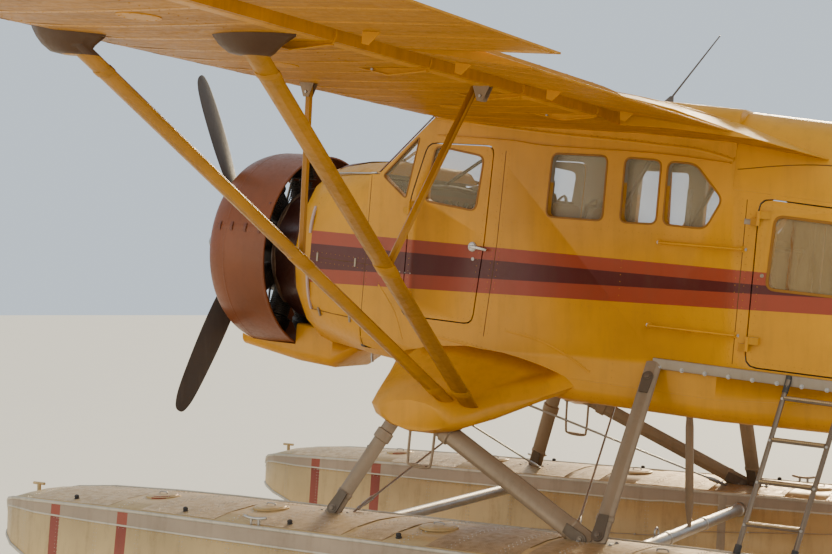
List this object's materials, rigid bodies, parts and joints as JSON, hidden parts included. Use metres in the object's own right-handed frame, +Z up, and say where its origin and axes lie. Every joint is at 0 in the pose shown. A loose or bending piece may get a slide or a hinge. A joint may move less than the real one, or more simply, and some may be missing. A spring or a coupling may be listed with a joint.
{
  "type": "high-wing strut-braced bush floatplane with a nine-cylinder radial engine",
  "caption": "Strut-braced high-wing bush plane with a radial engine, hollow cabin with opening doors, moving control surfaces, and twin floats on which it parks.",
  "frame": {"origin": "on the floor under the middle of the whole aircraft's box, at the floats' keels", "axes": "+X forward along the floats, +Y to port along the span, +Z up; the fuselage is 5.2 degrees nose-up"},
  "size_m": [10.375, 15.7, 3.8099],
  "materials": {
    "yellow_paint": "gloss",
    "red_paint": "gloss",
    "float_paint": "satin",
    "strut_paint": "satin",
    "bare_aluminium": "satin",
    "stay_steel": "satin",
    "engine_metal": "satin",
    "exhaust_steel": "matte",
    "propeller_paint": "satin",
    "mast_paint": "satin",
    "panel_paint": "matte",
    "window_glass": "gloss",
    "seat_cloth": "matte"
  },
  "bodies": {
    "airframe": {"cabin_side_port": "yellow_paint", "cabin_side_starboard": "yellow_paint", "cabin_floor": "yellow_paint", "centre_section": "yellow_paint", "rear_fuselage": "yellow_paint", "nose_section": "yellow_paint", "wing_port": "yellow_paint", "wing_starboard": "yellow_paint", "wing_strut_front_port": "yellow_paint", "wing_strut_front_starboard": "yellow_paint", "wing_strut_rear_port": "yellow_paint", "wing_strut_rear_starboard": "yellow_paint", "gear_stub_port": "yellow_paint", "gear_stub_starboard": "yellow_paint", "chin_scoop": "yellow_paint", "tail_fin": "yellow_paint", "tailplane_port": "yellow_paint", "tailplane_starboard": "yellow_paint", "ventral_fin": "yellow_paint", "cowl_ring": "red_paint", "float_port": "float_paint", "float_starboard": "float_paint", "float_strut_front_port": "strut_paint", "float_strut_front_starboard": "strut_paint", "float_strut_diagonal_port": "strut_paint", "float_strut_diagonal_starboard": "strut_paint", "float_strut_rear_port": "strut_paint", "float_strut_rear_starboard": "strut_paint", "centre_strut": "strut_paint", "spreader_front": "bare_aluminium", "spreader_rear": "bare_aluminium", "ladder": "bare_aluminium", "stay_front_port": "stay_steel", "stay_front_starboard": "stay_steel", "stay_rear_port": "stay_steel", "stay_rear_starboard": "stay_steel", "engine": "engine_metal", "exhaust_pipe": "exhaust_steel", "aerial_mast": "mast_paint", "firewall": "panel_paint", "windshield_glass": "window_glass", "strip_glass_port": "window_glass", "strip_glass_starboard": "window_glass", "pilot_seat": "seat_cloth", "copilot_seat": "seat_cloth", "cabin_bench": "seat_cloth"},
    "propeller": {"propeller": "propeller_paint"},
    "flap_port": {"flap_port": "yellow_paint"},
    "flap_starboard": {"flap_starboard": "yellow_paint"},
    "aileron_port": {"aileron_port": "yellow_paint"},
    "aileron_starboard": {"aileron_starboard": "yellow_paint"},
    "elevators": {"elevator_port": "yellow_paint", "elevator_starboard": "yellow_paint"},
    "rudder": {"rudder": "yellow_paint"},
    "cockpit_door_port": {"cockpit_door_port": "yellow_paint"},
    "cockpit_door_starboard": {"cockpit_door_starboard": "yellow_paint"},
    "cabin_door_port": {"cabin_door_port": "yellow_paint"},
    "cabin_door_starboard": {"cabin_door_starboard": "yellow_paint"},
    "water_rudder_port": {"water_rudder_port": "bare_aluminium"},
    "water_rudder_starboard": {"water_rudder_starboard": "bare_aluminium"}
  },
  "joints": [
    {"name": "propeller_spin", "type": "hinge", "parent": "airframe", "child": "propeller", "pos_m": [4.32245, 0, 2.57], "axis": [0.9959, 0, 0.0906], "continuous": true},
    {"name": "flap_port_hinge", "type": "hinge", "parent": "airframe", "child": "flap_port", "pos_m": [0.82485, 1, 3.26742], "axis": [0.0011, -0.9999, -0.0119], "range_deg": [-6, 52]},
    {"name": "flap_starboard_hinge", "type": "hinge", "parent": "airframe", "child": "flap_starboard", "pos_m": [0.82485, -1, 3.26742], "axis": [-0.0011, -0.9999, 0.0119], "range_deg": [-6, 52]},
    {"name": "aileron_port_hinge", "type": "hinge", "parent": "airframe", "child": "aileron_port", "pos_m": [0.82234, 3.3, 3.29491], "axis": [0.0011, -0.9999, -0.0119], "range_deg": [-20, 20]},
    {"name": "aileron_starboard_hinge", "type": "hinge", "parent": "airframe", "child": "aileron_starboard", "pos_m": [0.82234, -3.3, 3.29491], "axis": [-0.0011, -0.9999, 0.0119], "range_deg": [-20, 20]},
    {"name": "elevator_hinge", "type": "hinge", "parent": "airframe", "child": "elevators", "pos_m": [-4.39157, 0, 2.10833], "axis": [0, -1, 0], "range_deg": [-28, 25]},
    {"name": "rudder_hinge", "type": "hinge", "parent": "airframe", "child": "rudder", "pos_m": [-4.53096, 0, 1.76428], "axis": [-0.0906, 0, 0.9959], "range_deg": [-25, 25]},
    {"name": "cockpit_door_port_hinge", "type": "hinge", "parent": "airframe", "child": "cockpit_door_port", "pos_m": [2.50397, 0.698, 2.4045], "axis": [0.0906, 0, -0.9959], "range_deg": [0, 75]},
    {"name": "cockpit_door_starboard_hinge", "type": "hinge", "parent": "airframe", "child": "cockpit_door_starboard", "pos_m": [2.50397, -0.698, 2.4045], "axis": [-0.0906, 0, 0.9959], "range_deg": [0, 75]},
    {"name": "cabin_door_port_hinge", "type": "hinge", "parent": "airframe", "child": "cabin_door_port", "pos_m": [0.25127, 0.698, 2.19949], "axis": [0.0906, 0, -0.9959], "range_deg": [0, 90]},
    {"name": "cabin_door_starboard_hinge", "type": "hinge", "parent": "airframe", "child": "cabin_door_starboard", "pos_m": [0.25127, -0.698, 2.19949], "axis": [-0.0906, 0, 0.9959], "range_deg": [0, 90]},
    {"name": "water_rudder_port_hinge", "type": "hinge", "parent": "airframe", "child": "water_rudder_port", "pos_m": [-2.64455, 1.4, 0.745], "axis": [0, 0, 1], "range_deg": [-30, 30]},
    {"name": "water_rudder_starboard_hinge", "type": "hinge", "parent": "airframe", "child": "water_rudder_starboard", "pos_m": [-2.64455, -1.4, 0.745], "axis": [0, 0, 1], "range_deg": [-30, 30]}
  ],
  "couplings": [
    {"joint": "flap_starboard_hinge", "follows": "flap_port_hinge", "ratio": 1},
    {"joint": "aileron_starboard_hinge", "follows": "aileron_port_hinge", "ratio": -1},
    {"joint": "water_rudder_starboard_hinge", "follows": "water_rudder_port_hinge", "ratio": 1}
  ]
}
